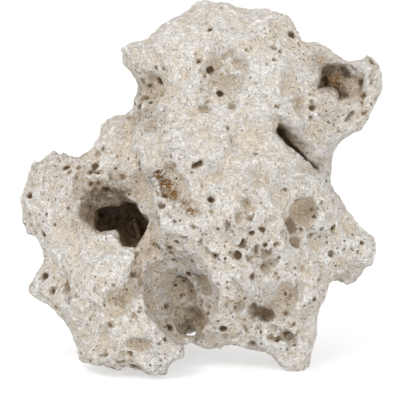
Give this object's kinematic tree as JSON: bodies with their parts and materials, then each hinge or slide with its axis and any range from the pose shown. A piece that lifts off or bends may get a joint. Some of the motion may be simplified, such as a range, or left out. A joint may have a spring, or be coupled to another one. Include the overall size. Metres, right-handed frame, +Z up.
{
  "type": "limestone rock",
  "caption": "Free-standing piece of weathered, hole-riddled limestone with a cave, a valley and an arch under it, for an aquarium or a display.",
  "frame": {"origin": "bottom centre of the stone's box, on the surface that it stands on", "axes": "+Z up, +X to the right across the stone's face, -Y out of its face, which leans back by 9 degrees"},
  "size_m": [0.172, 0.1082, 0.1689],
  "materials": {
    "limestone": "rough, chalky and porous"
  },
  "bodies": {
    "root": {"limestone": "limestone"}
  },
  "joints": []
}
